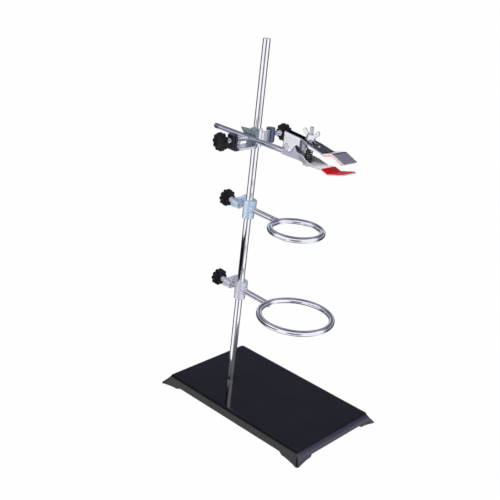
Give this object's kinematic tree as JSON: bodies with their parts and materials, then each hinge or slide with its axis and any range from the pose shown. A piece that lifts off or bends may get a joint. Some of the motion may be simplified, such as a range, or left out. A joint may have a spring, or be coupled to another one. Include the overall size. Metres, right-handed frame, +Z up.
{
  "type": "retort stand",
  "caption": "Laboratory retort stand: heavy base, upright rod, small and large support rings and a lined two-jaw flask clamp on a boss head.",
  "frame": {"origin": "middle of the rectangle the four feet stand in, on the table surface", "axes": "+Z up along the upright rod, +X along the long side of the base from the rod end to the far end, +Y across the base"},
  "size_m": [0.21, 0.136, 0.405],
  "materials": {
    "black_enamel": "glossy black enamel",
    "chrome_rod": "bright chrome plate",
    "zinc": "zinc plated steel",
    "cast_zinc": "zinc plated casting",
    "ring_chrome": "bright plate",
    "knob_plastic": "moulded black plastic",
    "jaw_sheet": "plated pressed sheet",
    "red_lining": "red vinyl",
    "spring_black": "blackened spring steel"
  },
  "bodies": {
    "stand": {"base_plate": "black_enamel", "support_rod": "chrome_rod", "rod_washer": "zinc", "rod_nut": "zinc"},
    "lower_ring_clamp": {"lower_ring_boss": "cast_zinc", "lower_ring_arm": "ring_chrome", "lower_ring": "ring_chrome"},
    "lower_ring_screw_body": {"lower_ring_screw": "zinc"},
    "lower_ring_knob_body": {"lower_ring_knob": "knob_plastic"},
    "upper_ring_clamp": {"upper_ring_boss": "cast_zinc", "upper_ring_arm": "ring_chrome", "upper_ring": "ring_chrome"},
    "upper_ring_screw_body": {"upper_ring_screw": "zinc"},
    "upper_ring_knob_body": {"upper_ring_knob": "knob_plastic"},
    "boss_head": {"boss_head_body": "cast_zinc"},
    "rod_grip_screw_body": {"rod_grip_screw": "zinc"},
    "rod_grip_knob_body": {"rod_grip_knob": "knob_plastic"},
    "arm_grip_screw_body": {"arm_grip_screw": "zinc"},
    "arm_grip_knob_body": {"arm_grip_knob": "knob_plastic"},
    "clamp_arm": {"clamp_rod": "ring_chrome"},
    "clamp_jaws": {"lower_jaw": "jaw_sheet", "lower_jaw_lining": "red_lining", "jaw_hinge_pin": "zinc", "jaw_bolt": "zinc", "jaw_spring": "spring_black"},
    "upper_jaw_body": {"upper_jaw": "jaw_sheet", "upper_jaw_lining": "red_lining"},
    "washer_body": {"nut_washer": "zinc"},
    "wing_nut_body": {"wing_nut": "zinc"}
  },
  "joints": [
    {"name": "lower_ring_height", "type": "slide", "parent": "stand", "child": "lower_ring_clamp", "axis": [0, 0, 1], "range_m": [-0.1, 0.035]},
    {"name": "upper_ring_height", "type": "slide", "parent": "stand", "child": "upper_ring_clamp", "axis": [0, 0, 1], "range_m": [-0.028, 0.022]},
    {"name": "boss_head_height", "type": "slide", "parent": "stand", "child": "boss_head", "axis": [0, 0, 1], "range_m": [-0.01, 0.085]},
    {"name": "clamp_rod_slide", "type": "slide", "parent": "boss_head", "child": "clamp_arm", "axis": [0.9979, -0.0645, 0], "range_m": [-0.034, 0.038]},
    {"name": "clamp_turn", "type": "hinge", "parent": "clamp_arm", "child": "clamp_jaws", "pos_m": [-0.05015, -0.02048, 0.303], "axis": [0.9979, -0.0645, 0], "continuous": true},
    {"name": "lower_ring_travel", "type": "slide", "parent": "lower_ring_clamp", "child": "lower_ring_screw_body", "axis": [-0.9973, 0.0732, 0], "range_m": [0, 0.0032]},
    {"name": "lower_ring_knob_turn", "type": "hinge", "parent": "lower_ring_screw_body", "child": "lower_ring_knob_body", "pos_m": [-0.08281, -0.00805, 0.1282], "axis": [-0.9973, 0.0732, 0], "range_deg": [0, 1440]},
    {"name": "upper_ring_travel", "type": "slide", "parent": "upper_ring_clamp", "child": "upper_ring_screw_body", "axis": [-0.9956, 0.0941, 0], "range_m": [0, 0.0032]},
    {"name": "upper_ring_knob_turn", "type": "hinge", "parent": "upper_ring_screw_body", "child": "upper_ring_knob_body", "pos_m": [-0.08275, -0.00736, 0.2243], "axis": [-0.9956, 0.0941, 0], "range_deg": [0, 1440]},
    {"name": "rod_grip_travel", "type": "slide", "parent": "boss_head", "child": "rod_grip_screw_body", "axis": [0.0645, 0.9979, 0], "range_m": [0, 0.0032]},
    {"name": "rod_grip_knob_turn", "type": "hinge", "parent": "rod_grip_screw_body", "child": "rod_grip_knob_body", "pos_m": [-0.04704, 0.02762, 0.304], "axis": [0.0645, 0.9979, 0], "range_deg": [0, 1440]},
    {"name": "arm_grip_travel", "type": "slide", "parent": "boss_head", "child": "arm_grip_screw_body", "axis": [-0.0645, -0.9979, 0], "range_m": [0, 0.0032]},
    {"name": "arm_grip_knob_turn", "type": "hinge", "parent": "arm_grip_screw_body", "child": "arm_grip_knob_body", "pos_m": [-0.05253, -0.0574, 0.303], "axis": [-0.0645, -0.9979, 0], "range_deg": [0, 1440]},
    {"name": "jaw_open", "type": "hinge", "parent": "clamp_jaws", "child": "upper_jaw_body", "pos_m": [0.00813, -0.02425, 0.3104], "axis": [-0.0645, -0.9979, 0], "range_deg": [-4.5, 10], "deforming": ["jaw_spring"]},
    {"name": "nut_travel", "type": "slide", "parent": "clamp_jaws", "child": "washer_body", "axis": [0, 0, 1], "range_m": [-0.002, 0.0044]},
    {"name": "wing_nut_turn", "type": "hinge", "parent": "washer_body", "child": "wing_nut_body", "pos_m": [0.03398, -0.02592, 0.323], "axis": [0, 0, 1], "range_deg": [-1029, 2263.5]}
  ],
  "couplings": [
    {"joint": "lower_ring_knob_turn", "follows": "lower_ring_travel", "rad_per_m": 7853.9},
    {"joint": "upper_ring_knob_turn", "follows": "upper_ring_travel", "rad_per_m": 7853.9},
    {"joint": "rod_grip_knob_turn", "follows": "rod_grip_travel", "rad_per_m": 7853.9},
    {"joint": "arm_grip_knob_turn", "follows": "arm_grip_travel", "rad_per_m": 7853.9},
    {"joint": "wing_nut_turn", "follows": "nut_travel", "rad_per_m": 8976},
    {"joint": "jaw_open", "follows": "nut_travel", "rad_per_m": 38.462}
  ]
}
